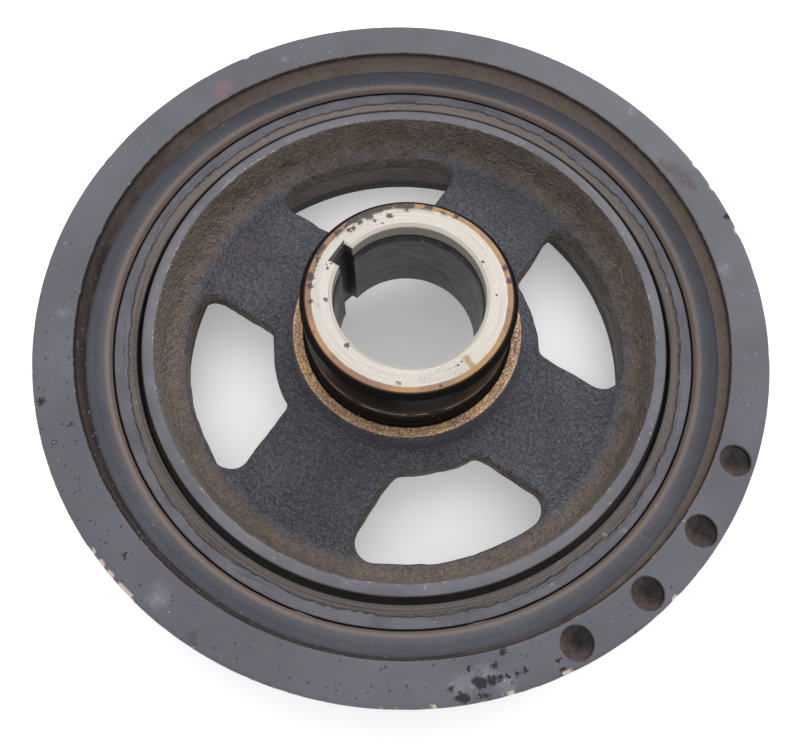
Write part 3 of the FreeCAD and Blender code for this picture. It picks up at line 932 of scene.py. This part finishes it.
hubLook = {
    "cast": tint(88, 88, 94),
    "castDark": tint(70, 70, 76),
    "castPale": tint(108, 109, 117),
    "glint": tint(128, 132, 144),
    "pit": tint(38, 38, 44),
    "rust": tint(92, 74, 66),
    "dust": tint(130, 117, 106),
    "dustDark": tint(60, 52, 47),
    "dustPale": tint(132, 118, 105),
    "earth": tint(98, 86, 77),
    # pale, for the painted highlight along the windows' outer edges
    "crust": tint(112, 116, 128),
    "window": tint(62, 54, 49),
    "windowPale": tint(92, 80, 70),
    "windowDark": tint(40, 35, 32),
    "front": tint(56, 49, 45),
    "frontPale": tint(84, 73, 65),
    # near black, for the painted shadow low on the front inner wall
    "frontPaintedShadow": tint(14, 13, 13),
    "rimPaint": tint(100, 99, 106),
    "rimDark": tint(84, 83, 90),
    "bronze": tint(212, 172, 122),
    "bronzeRed": tint(170, 134, 112),
    "bronzeDark": tint(96, 72, 56),
    "bronzePale": tint(226, 206, 180),
    "journal": tint(8, 8, 9),
    "journalPale": tint(20, 19, 20),
    "journalWorn": tint(40, 39, 42),
    "journalRough": tint(14, 13, 14),
    "journalBrown": tint(36, 30, 27),
    "journalRing": tint(50, 41, 34),
    "wearLine": tint(214, 194, 170),
    "topEdge": tint(92, 58, 42),
    "black": tint(20, 19, 20),
    "steel": tint(190, 184, 176),
    "steelGrey": tint(150, 144, 136),
    "steelBrown": tint(170, 156, 142),
    "lip": tint(128, 112, 88),
    "lipPale": tint(196, 190, 180),
    "stain": tint(146, 116, 72),
    "dirt": tint(96, 90, 92),
    "blot": tint(44, 42, 46),
    "copper": tint(132, 104, 90),
    "gold": tint(156, 124, 86),
    "bore": tint(104, 104, 108),
    "boreDark": tint(72, 71, 75),
    "boreBrown": tint(84, 72, 62),
    "boreDirt": tint(12, 11, 12),
    "flake": tint(150, 150, 152),
    "olive": tint(152, 147, 134),
    "oliveDark": tint(126, 121, 110),
}
hubMarks = {  # (angle in degrees, radius, width)
    "blots": [(-150.1, 17.3, 1.2), (90.6, 19.1, 1.3), (118.5, 19.8, 1.1), (115.5, 19.5, 1.0),
              (109.7, 20.0, 1.3), (103.3, 20.6, 2.2), (101.0, 19.0, 0.9), (95.6, 21.2, 1.6),
              (79.5, 20.1, 1.0), (77.5, 21.1, 1.3), (157.5, 21.0, 1.8), (163.1, 20.8, 1.3),
              (149.1, 18.2, 0.8), (173.0, 17.4, 0.9), (173.2, 20.5, 0.9), (-110.2, 20.0, 0.5),
              (-108.4, 19.9, 0.5), (4.6, 21.2, 1.4), (-3.8, 21.3, 1.3), (99.0, 21.4, 1.8),
              (106.0, 21.3, 1.7), (112.0, 21.0, 1.5), (91.0, 21.5, 1.4)],
    "stains": [(-64.1, 18.5, 1.7), (-64.3, 19.2, 1.2), (-64.5, 19.9, 1.3), (-64.0, 20.7, 1.5)],
    "dirt": [(-72.1, 18.8, 3.2), (-84.1, 17.9, 3.2), (-92.9, 18.3, 2.8), (-78.0, 18.4, 3.2)],
}


def hubOutline():
    s = hubShape
    worn = journalRadius - s["wearDepth"]
    return [
        (s["frontInner"], 0, 0.4, "front"),
        (hubReach, 0, 0.4, "front"),
        (hubReach, s["rimTop"], 0.4, "rim"),
        (hubReach - s["rimWidth"], s["rimTop"], 0.3, "cast"),
        (s["rearFoot"], s["webRear"], s["fillet"], "cast"),
        (s["bossFoot"], s["webRear"], s["fillet"], "cast"),
        (s["shoulder"], s["shoulderTop"], 0.45, "shoulder"),
        (s["shoulderIn"], s["shoulderTop"] - 0.5, 0.2, "journal"),
        (worn, s["shoulderTop"] - 1.0, 0.3, "journal"),
        (worn, s["wearLine"] - 0.35, 0.1, "journal"),
        (journalRadius, s["wearLine"], 0.15, "journal"),
        (journalRadius, hubTop - s["journalChamfer"], 0.5, "journal"),
        (journalRadius - s["journalChamfer"], hubTop, 0.25, "face"),
        (s["counterbore"] + s["mouth"], hubTop, 0.05, "face"),
        (s["counterbore"], hubTop - s["mouth"], 0.05, "bore"),
        (s["counterbore"], s["counterLow"], 0.05, "bore"),
        (boreRadius, s["counterLow"] - 0.25, 0.1, "bore"),
        (boreRadius, boltSeat, 0.4, "bore"),
        (s["boltRecess"], boltSeat, 0.3, "front"),
        (s["boltRecess"], s["boltBossLow"], 0.4, "front"),
        (s["boltBoss"], s["boltBossLow"], 0.6, "front"),
        (s["boltBoss"], s["webFront"], 1.2, "front"),
        (s["frontFoot"], s["webFront"], 1.2, "front"),
    ]


def hubRoughness(grid):
    s = hubShape
    x, y, z = grid["x"], grid["y"], grid["height"]
    radius = grid["radius"]
    cast = grid["finish"] == hubFinishes.index("cast")
    front = grid["finish"] == hubFinishes.index("front")
    sides = np.clip((radius - boreRadius - 8.5) / 2, 0, 1) * np.clip((s["rimTop"] - 0.6 - z) / 1.5, 0, 1)
    sides = sides * np.clip((hubReach - 0.5 - radius) / 1.0, 0, 1)
    lumps = 0.16 * roughField(x, y, z, 6.5, s["seed"]) + 0.1 * roughField(x, y, z, 2.4, s["seed"] + 1)
    lumps = lumps + 0.07 * roughField(x, y, z, 1.05, s["seed"] + 2)
    lumps = lumps * np.clip(z / 2 - 0.3, 0, 1)  # the front edge stays flat
    grainy = 0.1 * roughField(x, y, z, 0.55, s["seed"] + 3) * (grid["finish"] == hubFinishes.index("shoulder"))
    edge = nearEdge(grid, hubReach - s["rimWidth"], s["rimTop"], 0.8)
    nicks = edge * np.clip(roughField(x, y, z, 1.4, s["seed"] + 4) - 0.2, 0, 1) * 0.5
    return lumps * sides * (cast | front) + grainy - nicks


def windowOutline(middle):
    # one window between two spokes, drawn for the +X side and turned to its own middle angle
    s = hubShape
    half = s["spokeWidth"] / 2
    slant = math.radians(s["spokeSlant"])
    along = Vector((math.cos(slant), math.sin(slant)))
    inward = Vector((math.sin(slant), -math.cos(slant)))  # from the spoke's side into the window
    points, outward = [], []

    def arc(centre, radius, start, end, steps, flip=1):
        for angle in np.linspace(start, end, steps):
            spoke = Vector((math.cos(angle), math.sin(angle)))
            points.append(centre + spoke * radius)
            outward.append(spoke * flip)

    def cornerCentre(distance, rounding):
        off = half + rounding
        return inward * off + along * math.sqrt(distance ** 2 - off ** 2)

    outer = cornerCentre(s["windowOut"] - s["windowOutRound"], s["windowOutRound"])
    inner = cornerCentre(s["windowIn"] + s["windowInRound"], s["windowInRound"])
    outerTurn = math.atan2(outer.y, outer.x)
    innerTurn = math.atan2(inner.y, inner.x)
    side = slant + math.pi / 2                    # way from the window to the upper spoke's side
    arc(Vector((0, 0)), s["windowOut"], 0, outerTurn, 34)
    arc(outer, s["windowOutRound"], outerTurn, side, 12)
    for step in range(1, 16):
        points.append(points[-1].lerp(inner - inward * s["windowInRound"], 1 / (17 - step)))
        outward.append(-inward)
    arc(inner, s["windowInRound"], side, math.pi + innerTurn, 10)
    arc(Vector((0, 0)), s["windowIn"], innerTurn, 0, 16, -1)
    keep = [i for i in range(len(points)) if i == 0 or (points[i] - points[i - 1]).length > 1e-3]
    points = [points[i] for i in keep]
    outward = [outward[i] for i in keep]
    mirrored = [(Vector((p.x, -p.y)), Vector((w.x, -w.y))) for p, w in zip(points, outward)][::-1]
    points += [p for p, w in mirrored[1:-1]]
    outward += [w for p, w in mirrored[1:-1]]
    turn = Matrix.Rotation(middle, 2)
    return [turn @ p for p in points], [turn @ w for w in outward]


def windowCutter(index):
    s = hubShape
    points, outward = windowOutline(math.radians(90 * index))
    flat = np.array([tuple(p) for p in points])
    sway = 0.28 * roughField(flat[:, 0], flat[:, 1], 0 * flat[:, 0], 5.0, s["seed"] + 7)
    sway = sway + 0.1 * roughField(flat[:, 0], flat[:, 1], 0 * flat[:, 0], 1.7, s["seed"] + 8)
    points = [p + w * float(out) for p, w, out in zip(points, outward, sway)]
    edge = s["windowEdge"]
    levels = [(s["webFront"] - 6, edge), (s["webFront"] - 0.3, edge)]
    bends = [part / 6 * math.pi / 2 for part in range(7)]
    levels += [(s["webFront"] - 0.3 + edge * math.sin(bend), edge * math.cos(bend)) for bend in bends]
    levels += [(s["webRear"] + 0.15 - edge * math.sin(bend), edge * (1 - math.sin(bend)))
               for bend in reversed(bends)]
    levels.append((s["webRear"] + 6, edge * 1.2))
    tidy = [levels[0]]
    for level in levels[1:]:
        if level[0] - tidy[-1][0] > 1e-3:
            tidy.append(level)
    return prism("window", points, outward, tidy)


def keyCutter():
    s = hubShape
    half = s["keyWidth"] / 2
    inner = boreRadius - 3
    turn = Matrix.Rotation(math.radians(s["keyAngle"]), 2)
    corners = [(inner, -half), (s["keyFloor"], -half), (s["keyFloor"], half), (inner, half)]
    ways = [(0, -1), (1, -1), (1, 1), (0, 1)]
    levels = [(boltSeat - 4, 0.0), (hubTop - s["mouth"], 0.0), (hubTop, s["mouth"]),
              (hubTop + 2, s["mouth"] + 2)]
    return prism("key", [turn @ Vector(spot) for spot in corners], [turn @ Vector(way) for way in ways],
                 levels)


def makeCastIron():
    material, shader = newMaterial("castIron")
    look = hubLook
    s = hubShape
    at = useGroup(shader.id_data, polarPlace)
    radius = at["Radius"]
    skin = useGroup(shader.id_data, castGrain, {"Spot": at["Spot"], "Size": 1.0})
    fine = cloud(at, 0.5, 3, 0.6)
    grains = cloud(at, 0.42, 2, 0.6)
    colour = blend(cloud(at, 16, 3, 0.6).fade(0.35, 0.7), look["cast"], look["castDark"])
    colour = blend(skin["Grain"].spread(0.3, 0.62, 0.0, 0.5), colour, look["castPale"])
    colour = blend(skin["Hollows"] * 0.5, colour, look["castDark"])
    colour = blend(grains.fade(0.53, 0.68, 0.0, 0.55), colour, look["glint"])
    colour = blend(grains.fade(0.47, 0.33, 0.0, 0.6), colour, look["pit"])
    # rust and dust gather along the rim's wall, its fillet and the foot of the boss
    wallward = radius.fade(s["windowOut"] - 1.5, s["rearFoot"] - 1.2)
    # the dust grows paler towards 225°, where the wall faces the key lamp: partly painted light on the lit side
    dustAndSideLight = bloomOn(at, 4.5, towards(at, 225.0).spread(-0.6, 0.6, 0.5, 0.75), 0.2)
    wallTint = blend(dustAndSideLight["Mask"], look["earth"], look["dust"])
    wallTint = blend(dustAndSideLight["Mottle"].fade(0.48, 0.3, 0.0, 0.5), wallTint, look["dustDark"])
    wallTint = blend(dustAndSideLight["Mottle"].fade(0.55, 0.7, 0.0, 0.7), wallTint, look["dustPale"])
    colour = blend(wallward * 0.92, colour, wallTint)
    patches = bloomOn(at, 9.0, 0.3, 0.1)["Mask"] * radius.band(44.0, 56.0, 4.0)
    colour = blend(patches * 0.7, colour, look["rust"])
    # a pale band, broken into patches, runs along the windows' outer edges: a painted highlight on the edge
    edgeHighlight = radius.band(s["windowOut"] - 0.6, s["windowOut"] + 1.3, 0.5) * bloomOn(at, 2.2, 0.45, 0.1)["Mask"]
    colour = blend(edgeHighlight * 0.55, colour, look["crust"])
    finish(shader, colour, fine.spread(0.3, 0.7, 0.42, 0.62), skin["Grain"] * 1.5 + fine * 0.8, 1.0)
    return material


def makeWindowWall():
    material, shader = newMaterial("windowWall")
    look = hubLook
    at = useGroup(shader.id_data, polarPlace)
    skin = useGroup(shader.id_data, castGrain, {"Spot": at["Spot"], "Size": 1.2})
    colour = blend(bloomOn(at, 3.0, 0.5, 0.2)["Mask"], look["window"], look["windowPale"])
    colour = blend(skin["Hollows"] * 0.5, colour, look["windowDark"])
    foot = at["Height"].fade(hubShape["webFront"] + 1.6, hubShape["webFront"] + 0.6)
    colour = blend(foot * 0.8, colour, look["black"])
    finish(shader, colour, skin["Grain"].spread(0.2, 0.6, 0.75, 0.5), skin["Grain"], 0.25)
    return material


def makeRimPaint():
    material, shader = newMaterial("rimPaint")
    look = hubLook
    at = useGroup(shader.id_data, polarPlace)
    marks = toolMarks(at, 0.22, 1.0)
    colour = blend(cloud(at, 12, 3, 0.6).fade(0.35, 0.7), look["rimPaint"], look["rimDark"])
    colour = blend(marks.spread(0.4, 0.75, 0.0, 0.4), colour, look["rimDark"])
    inner = at["Radius"] - (hubReach - hubShape["rimWidth"])
    colour = blend(wearOn(at, inner, 0.4, 0.1) * 0.8, colour, look["steelGrey"])
    colour = blend(specksOn(at, 0.9, 0.08) * 0.6, colour, look["steelGrey"])
    finish(shader, colour, marks.spread(0.3, 0.7, 0.4, 0.52), marks, 0.03)
    return material


def makeShoulder():
    material, shader = newMaterial("shoulderBronze")
    look = hubLook
    at = useGroup(shader.id_data, polarPlace)
    grain = cloud(at, 0.42, 3, 0.6)
    colour = blend(cloud(at, 8, 3, 0.6).fade(0.35, 0.65), look["bronze"], look["bronzeRed"])
    colour = blend(grain.fade(0.5, 0.38, 0.0, 0.75), colour, look["bronzeDark"])
    colour = blend(grain.fade(0.54, 0.66), colour, look["bronzePale"])
    finish(shader, colour, grain.spread(0.3, 0.7, 0.6, 0.38), grain, 0.2, 0.55)
    return material


def makeJournal():
    material, shader = newMaterial("sealJournal")
    look = hubLook
    line = hubShape["wearLine"]
    at = useGroup(shader.id_data, polarPlace)
    height = at["Height"]
    marks = toolMarks(at, 0.3, 0.6)
    below = height.fade(line + 0.1, line - 0.3)
    colour = blend(marks.spread(0.35, 0.7, 0.0, 1.0), look["journal"], look["journalPale"])
    colour = blend(height.band(line + 0.1, line + 3.6, 0.6) * 0.25, colour, look["journalWorn"])
    rough = blend(cloud(at, 0.9, 4, 0.7), look["journalRough"], look["journalBrown"])
    rough = blend(marks.spread(0.5, 0.75, 0.0, 0.7), rough, look["journalRing"])
    rough = blend(specksOn(at, 0.5, 0.08) * 0.5, rough, look["bronze"])
    colour = blend(below * 0.9, colour, rough)
    bright = height.band(line + 0.05, line + 0.5, 0.06) * cloud(at, 4.0, 3).fade(0.35, 0.6)
    colour = blend(bright * 0.9, colour, look["wearLine"])
    faint = height.band(line + 1.5, line + 1.75, 0.1).most(height.band(line - 1.6, line - 1.3, 0.1))
    colour = blend(faint * 0.4, colour, look["steelGrey"])
    # the top edge glows brown where the black skin thins out
    colour = blend(height.fade(hubTop - 0.35, hubTop - 0.1) * 0.8, colour, look["topEdge"])
    shader.inputs["Specular IOR Level"].default_value = 0.05
    relief = marks * below.spread(0.0, 1.0, 0.25, 1.0)
    finish(shader, colour, below.spread(0.0, 1.0, 0.35, 0.6), relief, 0.05)
    return material


def makeGroundFace():
    material, shader = newMaterial("groundFace")
    look = hubLook
    at = useGroup(shader.id_data, polarPlace)
    radius = at["Radius"]
    marks = toolMarks(at, 0.16, 1.6)
    grit = cloud(at, 0.5, 4, 0.7)
    wide = cloud(at, 7, 3, 0.6)
    colour = blend(marks.spread(0.42, 0.7, 0.0, 0.6), look["steel"], look["steelGrey"])
    colour = blend(grit.spread(0.5, 0.75, 0.0, 0.4), colour, look["steelBrown"])
    copperEdge = wide.spread(0.3, 0.7, -0.12, 0.12) + (journalRadius - 2.48)
    ringTint = blend(wide.fade(0.4, 0.62), look["copper"], look["gold"])
    ringTint = blend(grit.fade(0.6, 0.75), ringTint, look["steelGrey"])
    colour = blend((radius - copperEdge).fade(-0.06, 0.06), colour, ringTint)
    # black crust sits on the copper band, mostly round the far side
    amount = towards(at, 100.0).spread(0.3, 1.0, 0.12, 0.62)
    crust = bloomOn(at, 2.4, amount, 0.03)["Mask"] * radius.fade(journalRadius - 3.3, journalRadius - 1.9)
    crust = crust.most(specksOn(at, 0.9, 0.03))
    mouth = hubShape["counterbore"] + hubShape["mouth"]
    colour = blend(radius.band(mouth + 0.05, mouth + 0.2, 0.06) * 0.75, colour, look["lip"])
    stained = splotchesOn(at, hubMarks["stains"], hubTop, 0.45, 0.2, 0.6)
    colour = blend(stained * 0.8, colour, look["stain"])
    dirty = splotchesOn(at, hubMarks["dirt"], hubTop, 0.7, 0.45) * cloud(at, 0.35, 3, 0.7).fade(0.48, 0.6)
    colour = blend(dirty * 0.45, colour, look["dirt"])
    crust = crust.most(splotchesOn(at, hubMarks["blots"], hubTop, 0.55, 0.1, 0.45))
    colour = blend(crust * 0.92, colour, look["blot"])
    finish(shader, colour, grit.spread(0.3, 0.7, 0.36, 0.54), marks * 0.6 + crust * 1.5, 0.03,
           crust.spread(0.0, 1.0, 0.6, 0.1))
    return material


def makeBore():
    material, shader = newMaterial("boreSteel")
    look = hubLook
    s = hubShape
    step = s["counterLow"]
    at = useGroup(shader.id_data, polarPlace)
    height = at["Height"]
    marks = toolMarks(at, 0.5, 3.5)
    colour = blend(marks.fade(0.38, 0.66), look["bore"], look["boreDark"])
    flatSpot = {"Spot": at["Spot"].vector("MULTIPLY", (1.0, 1.0, 4.5))}
    colour = blend(bloomOn(flatSpot, 9.0, 0.25, 0.06)["Mask"] * 0.8, colour, look["black"])
    colour = blend(height.fade(step - 9, boltSeat + 1) * 0.6, colour, look["boreBrown"])
    colour = blend(height.fade(step, step + 0.25), colour, blend(marks, look["olive"], look["oliveDark"]))
    mouth = hubTop - s["mouth"]
    colour = blend(height.fade(mouth - 0.3, mouth - 0.05), colour, look["lipPale"])
    crust = bloomOn(at, 1.1, 0.72, 0.04)["Mask"] * height.band(step - 2.3, step - 0.1, 0.5)
    dirt = crust.most(height.band(step - 0.3, step + 0.05, 0.06))
    colour = blend(dirt * 0.95, colour, look["boreDirt"])
    flakes = specksOn(at, 0.6, 0.22) * height.band(step - 2.6, step - 0.6, 0.5)
    colour = blend(flakes * 0.7, colour, look["flake"])
    # painted shade: the keyway's walls and floor go black below its mouth
    keywayShade = at["Radius"].fade(s["counterbore"] + 0.1, s["counterbore"] + 0.35)
    keywayShade = keywayShade * height.fade(hubTop - 0.3, hubTop - 0.7)
    colour = blend(keywayShade * 0.8, colour, look["black"])
    finish(shader, colour, cloud(at, 6, 3, 0.6).spread(0.3, 0.7, 0.35, 0.55), marks, 0.05,
           dirt.spread(0.0, 1.0, 0.25, 0.05))
    return material


def makeFrontCasting():
    material, shader = newMaterial("frontCasting")
    look = hubLook
    at = useGroup(shader.id_data, polarPlace)
    skin = useGroup(shader.id_data, castGrain, {"Spot": at["Spot"], "Size": 1.1})
    colour = blend(skin["Grain"], look["front"], look["frontPale"])
    colour = blend(bloomOn(at, 8.0, 0.5, 0.2)["Mask"] * 0.6, colour, look["earth"])
    # painted shadow: the lowest part of the rim's front inner wall goes near black, standing in for the shadow
    # under the hub's front
    deep = at["Height"].fade(5.6, 3.8) * at["Radius"].band(50.0, hubShape["frontInner"] + 0.15, 0.1)
    colour = blend(deep * 0.92, colour, look["frontPaintedShadow"])
    colour = blend(wearOn(at, at["Height"], 0.3, 0.6) * 0.7, colour, look["steelGrey"])
    finish(shader, colour, skin["Grain"].spread(0.3, 0.6, 0.7, 0.52), skin["Grain"], 0.28)
    return material


def buildHub():
    s = hubShape
    piece = turnMesh("hubCasting", hubOutline(), s["spacing"], s["segments"], hubFinishes, hubRoughness)
    print("hub turned:", len(piece.data.polygons), "faces")
    cutAway(piece, [windowCutter(index) for index in range(s["windows"])] + [keyCutter()])
    finishMakers = [makeCastIron, makeRimPaint, makeShoulder, makeJournal, makeGroundFace, makeBore,
                    makeFrontCasting, makeWindowWall]
    dress(piece, [make() for make in finishMakers])

    def onWindowWall(centres, normals, radii):
        level = (centres[:, 2] > s["webFront"] - 0.2) & (centres[:, 2] < s["webRear"] - 0.5)
        upright = np.abs(normals[:, 2]) < 0.75
        return level & upright & (radii > s["windowIn"] - 2) & (radii < s["windowOut"] + 1)

    def inKeyway(centres, normals, radii):
        level = (centres[:, 2] < hubTop - 0.02) & (centres[:, 2] > boltSeat + 0.1)
        return level & (radii > s["counterbore"] - 0.5) & (radii < s["keyFloor"] + 0.3)

    refinish(piece, onWindowWall, finishMakers.index(makeWindowWall))
    refinish(piece, inKeyway, finishMakers.index(makeBore))
    smoothShading(piece, 38)
    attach(piece, "hub")
    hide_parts("hub")
    print("hub built:", len(piece.data.polygons), "faces")


buildInertiaRing()
buildElastomer()
buildHub()


# floor, light and camera

studio = {
    "floorSize": 8.0,
    "floor": (0.93, 0.93, 0.93, 1.0),
    "floorGlow": 0.3,              # keeps what shows through the windows pale
    "sky": (1.0, 1.0, 1.02, 1.0),
    "skyStrength": 1.0,
    "keyPower": 3.2,
    "keySize": 0.5,
    "keyPlace": (0.8, 0.55, 0.6),
    "fillPower": 2.5,
    "fillSize": 1.0,
    "fillPlace": (0.1, 0.36, 0.9),
    "cameraPlace": (-0.01872, -0.06642, 0.18687),
    "turned": -19.9,
    "tipped": 20.14,
    "rolled": 7.27,
    "lens": 33.9,
    "sensor": 36.0,
    "shift": -0.03,
}


def buildFloor():
    s = studio
    bpy.ops.mesh.primitive_plane_add(size=s["floorSize"])
    floor = bpy.context.object
    floor.name = "studioFloor"
    material, shader = newMaterial("paleFloor")
    shader.inputs["Base Color"].default_value = s["floor"]
    shader.inputs["Roughness"].default_value = 0.7
    shader.inputs["Emission Color"].default_value = s["floor"]
    shader.inputs["Emission Strength"].default_value = s["floorGlow"]
    floor.data.materials.append(material)


def buildLight():
    s = studio
    world = bpy.data.worlds.new("softLight")
    world.use_nodes = True
    backdrop = world.node_tree.nodes["Background"]
    backdrop.inputs["Color"].default_value = s["sky"]
    backdrop.inputs["Strength"].default_value = s["skyStrength"]
    bpy.context.scene.world = world
    for name in ("key", "fill"):
        lamp = bpy.data.lights.new(name, "AREA")
        lamp.shape = "DISK"
        lamp.energy = s[name + "Power"]
        lamp.size = s[name + "Size"]
        holder = linked(name, lamp)
        holder.location = s[name + "Place"]
        holder.rotation_euler = (-holder.location).to_track_quat("-Z", "Y").to_euler()


def buildCamera():
    s = studio
    camera = bpy.data.cameras.new("camera")
    camera.sensor_width = s["sensor"]
    camera.lens = s["lens"]
    camera.shift_x = s["shift"]
    camera.clip_start = 0.01
    holder = linked("camera", camera)
    turns = [Matrix.Rotation(math.radians(s[way]), 4, axis)
             for way, axis in (("turned", "Z"), ("tipped", "X"), ("rolled", "Z"))]
    holder.matrix_world = Matrix.Translation(s["cameraPlace"]) @ turns[0] @ turns[1] @ turns[2]
    scene = bpy.context.scene
    scene.camera = holder
    scene.view_settings.view_transform = "Standard"
    scene.view_settings.look = "None"


buildFloor()
buildLight()
buildCamera()
print("studio ready")
